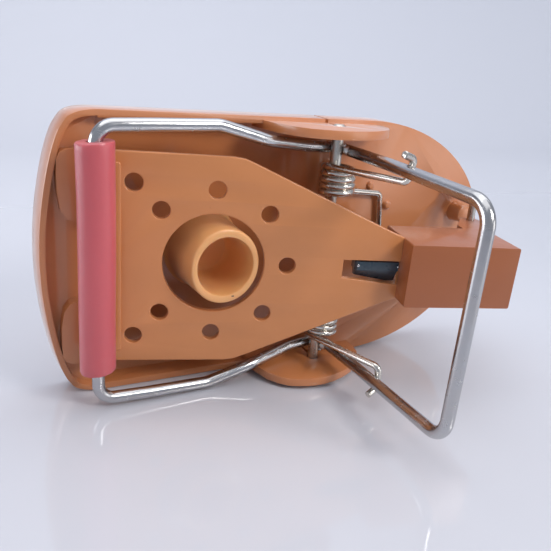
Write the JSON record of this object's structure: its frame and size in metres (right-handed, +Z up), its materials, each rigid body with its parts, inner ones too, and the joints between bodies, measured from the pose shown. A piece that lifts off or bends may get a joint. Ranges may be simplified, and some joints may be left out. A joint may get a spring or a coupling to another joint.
{
  "type": "spring snap trap",
  "caption": "Flat plastic snap trap with a perforated bait treadle, central bait cup, sprung wire striker bail with a soft sleeve, and a trigger catch in a block.",
  "frame": {"origin": "on the flat underside of the base, on the centreline, directly below the bail axle", "axes": "+X along the base from the striker bar to the trigger block, +Y along the bail axle, +Z up; bail in its sprung (closed) position"},
  "size_m": [0.144, 0.075, 0.0731],
  "materials": {
    "moulded_plastic": "satin terracotta moulding",
    "pale_plastic": "satin terracotta moulding",
    "bright_steel": "bright drawn wire",
    "spring_steel": "drawn spring wire",
    "black_steel": "blackened",
    "red_rubber": "matt rose red sleeve"
  },
  "bodies": {
    "base": {"base_tray": "moulded_plastic", "bait_cup": "pale_plastic", "treadle_pivot_pin": "bright_steel", "torsion_spring_left": "spring_steel", "torsion_spring_right": "spring_steel"},
    "bail": {"striker_bail": "bright_steel", "bail_axle": "bright_steel", "striker_sleeve": "red_rubber"},
    "treadle": {"treadle": "moulded_plastic", "catch_pin": "bright_steel"},
    "catch": {"trigger_catch": "black_steel", "catch_spring": "bright_steel"}
  },
  "joints": [
    {"name": "bail_open", "type": "hinge", "parent": "base", "child": "bail", "pos_m": [0, 0, 0.0147], "axis": [0, 1, 0], "range_deg": [0, 80], "stiffness_Nm_per_rad": 0.4, "springref_deg": -45.84, "deforming": ["torsion_spring_left", "torsion_spring_right"]},
    {"name": "treadle_tilt", "type": "hinge", "parent": "base", "child": "treadle", "pos_m": [0.0507, 0, 0.0194], "axis": [0, -1, 0], "range_deg": [0, 2.2]},
    {"name": "catch_swing", "type": "hinge", "parent": "treadle", "child": "catch", "pos_m": [0.03545, 0, 0.03749], "axis": [0, -1, 0], "range_deg": [0, 6]}
  ]
}
